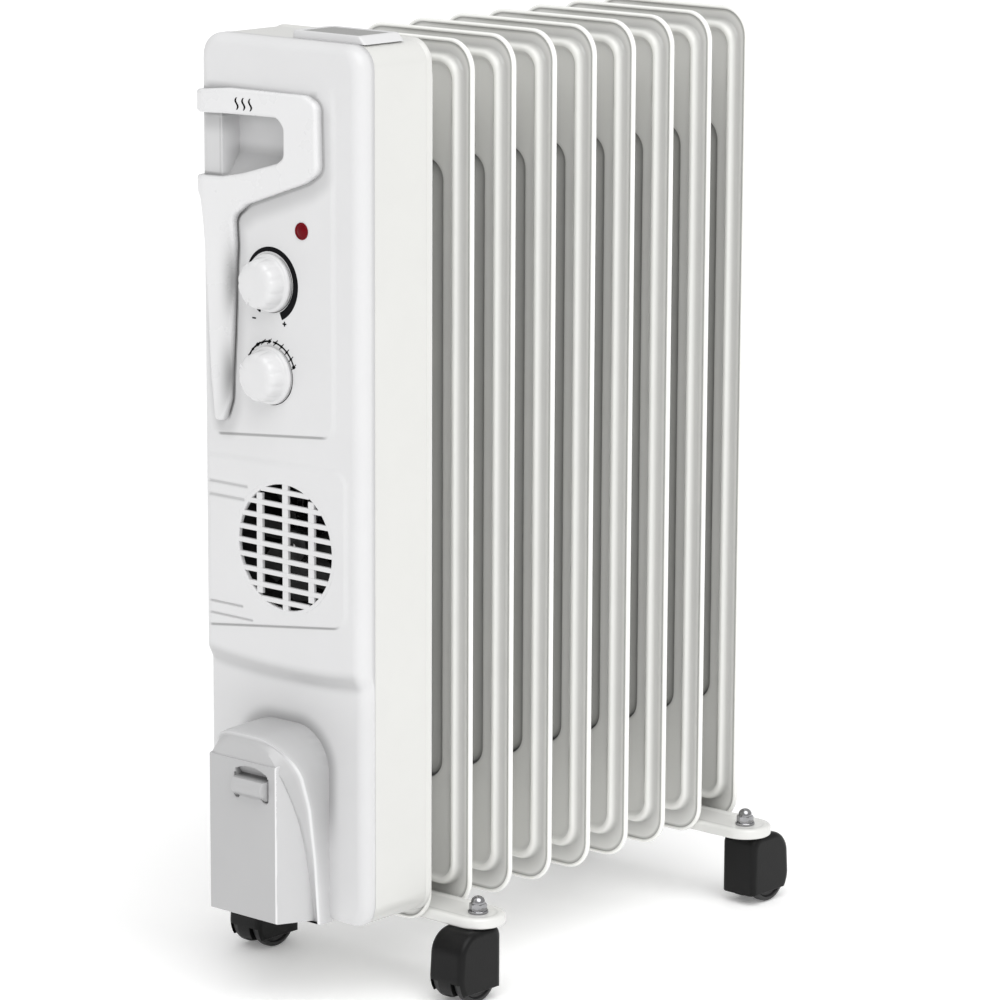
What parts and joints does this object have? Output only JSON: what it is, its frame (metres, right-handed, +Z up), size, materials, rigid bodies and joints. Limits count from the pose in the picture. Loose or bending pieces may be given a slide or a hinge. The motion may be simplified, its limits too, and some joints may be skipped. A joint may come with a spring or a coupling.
{
  "type": "oil filled radiator heater",
  "caption": "White oil filled radiator heater: upright fins on swivel casters behind a control box with two knobs, a handle, a round fan grille and a cord winder.",
  "frame": {"origin": "on the floor, under the middle of the overall box", "axes": "+X to the right of the control panel, -Y the way the panel faces, +Z up"},
  "size_m": [0.2206, 0.4498, 0.637],
  "materials": {
    "enamel": "gloss white enamel on steel",
    "bracket_enamel": "gloss white enamel on steel",
    "casing_enamel": "creamy white enamel on sheet steel",
    "cover_plastic": "white moulded plastic, semi-gloss",
    "handle_plastic": "white moulded plastic, gloss",
    "knob_plastic": "white moulded plastic, gloss",
    "vent_plastic": "grey moulded plastic",
    "lamp_red": "dark red translucent lens",
    "caster_black": "black moulded plastic",
    "wheel_black": "black nylon wheel",
    "zinc": "zinc plated steel",
    "bright_nut": "polished",
    "brass": "plain brass",
    "element_steel": "drawn steel tube",
    "shield_steel": "galvanised sheet",
    "gasket_rubber": "dense fibre rubber",
    "oil": "mineral oil, drawn as a solid",
    "duct_plastic": "black heat-resistant plastic",
    "motor_steel": "pressed steel can",
    "ceramic_block": "aluminium fins on ceramic",
    "control_resin": "phenolic resin",
    "wire_red": "silicone insulation",
    "gland_black": "black plastic"
  },
  "bodies": {
    "radiator": {"fin_1": "enamel", "fin_2": "enamel", "fin_3": "enamel", "fin_4": "enamel", "fin_5": "enamel", "fin_6": "enamel", "fin_7": "enamel", "fin_8": "enamel", "fin_9": "enamel", "header_collars": "enamel", "header_caps": "enamel", "front_caster_bracket": "bracket_enamel", "rear_caster_bracket": "bracket_enamel", "side_casing": "casing_enamel", "front_cover": "cover_plastic", "cord_winder": "cover_plastic", "fan_grille": "cover_plastic", "handle": "handle_plastic", "top_vent_cover": "vent_plastic", "power_lamp": "lamp_red", "bracket_u_bolts": "zinc", "bracket_wing_nuts": "zinc", "caster_stems": "zinc", "element_flange": "zinc", "caster_nuts": "bright_nut", "oil_filler_plug": "brass", "heating_elements": "element_steel", "heat_shield": "shield_steel", "tip_over_switch": "shield_steel", "element_gasket": "gasket_rubber", "oil_charge": "oil", "fan_housing": "duct_plastic", "fan_motor": "motor_steel", "ptc_heater": "ceramic_block", "thermostat": "control_resin", "selector_switch": "control_resin", "thermal_cutout": "control_resin", "terminal_block": "control_resin", "wiring_harness": "wire_red", "cord_gland": "gland_black"},
    "thermostat_dial": {"thermostat_shaft": "zinc", "thermostat_knob": "knob_plastic"},
    "selector_dial": {"selector_shaft": "zinc", "selector_knob": "knob_plastic"},
    "fan_rotor": {"fan_shaft": "zinc", "fan_impeller": "duct_plastic"},
    "tip_weight": {"tip_over_pendulum": "brass"},
    "caster_front_right": {"caster_hood_front_right": "caster_black", "caster_axle_front_right": "zinc"},
    "wheels_front_right": {"caster_wheels_front_right": "wheel_black"},
    "caster_front_left": {"caster_hood_front_left": "caster_black", "caster_axle_front_left": "zinc"},
    "wheels_front_left": {"caster_wheels_front_left": "wheel_black"},
    "caster_rear_right": {"caster_hood_rear_right": "caster_black", "caster_axle_rear_right": "zinc"},
    "wheels_rear_right": {"caster_wheels_rear_right": "wheel_black"},
    "caster_rear_left": {"caster_hood_rear_left": "caster_black", "caster_axle_rear_left": "zinc"},
    "wheels_rear_left": {"caster_wheels_rear_left": "wheel_black"}
  },
  "joints": [
    {"name": "thermostat_turn", "type": "hinge", "parent": "radiator", "child": "thermostat_dial", "pos_m": [-0.007, -0.18288, 0.476], "axis": [0, 1, 0], "range_deg": [0, 270]},
    {"name": "selector_turn", "type": "hinge", "parent": "radiator", "child": "selector_dial", "pos_m": [-0.007, -0.18288, 0.416], "axis": [0, 1, 0], "range_deg": [0, 240]},
    {"name": "fan_spin", "type": "hinge", "parent": "radiator", "child": "fan_rotor", "pos_m": [0.0045, -0.16787, 0.304], "axis": [0, 1, 0], "continuous": true},
    {"name": "tip_swing", "type": "hinge", "parent": "radiator", "child": "tip_weight", "pos_m": [0.042, -0.15288, 0.112], "axis": [0, 1, 0], "range_deg": [-18, 18]},
    {"name": "swivel_front_right", "type": "hinge", "parent": "radiator", "child": "caster_front_right", "pos_m": [0.092, -0.09212, 0.035], "axis": [0, 0, 1], "continuous": true},
    {"name": "roll_front_right", "type": "hinge", "parent": "caster_front_right", "child": "wheels_front_right", "pos_m": [0.092, -0.10512, 0.0185], "axis": [1, 0, 0], "continuous": true},
    {"name": "swivel_front_left", "type": "hinge", "parent": "radiator", "child": "caster_front_left", "pos_m": [-0.092, -0.09212, 0.035], "axis": [0, 0, 1], "continuous": true},
    {"name": "roll_front_left", "type": "hinge", "parent": "caster_front_left", "child": "wheels_front_left", "pos_m": [-0.092, -0.10512, 0.0185], "axis": [1, 0, 0], "continuous": true},
    {"name": "swivel_rear_right", "type": "hinge", "parent": "radiator", "child": "caster_rear_right", "pos_m": [0.092, 0.19137, 0.035], "axis": [0, 0, 1], "continuous": true},
    {"name": "roll_rear_right", "type": "hinge", "parent": "caster_rear_right", "child": "wheels_rear_right", "pos_m": [0.092, 0.20438, 0.0185], "axis": [1, 0, 0], "continuous": true},
    {"name": "swivel_rear_left", "type": "hinge", "parent": "radiator", "child": "caster_rear_left", "pos_m": [-0.092, 0.19137, 0.035], "axis": [0, 0, 1], "continuous": true},
    {"name": "roll_rear_left", "type": "hinge", "parent": "caster_rear_left", "child": "wheels_rear_left", "pos_m": [-0.092, 0.20438, 0.0185], "axis": [1, 0, 0], "continuous": true}
  ]
}
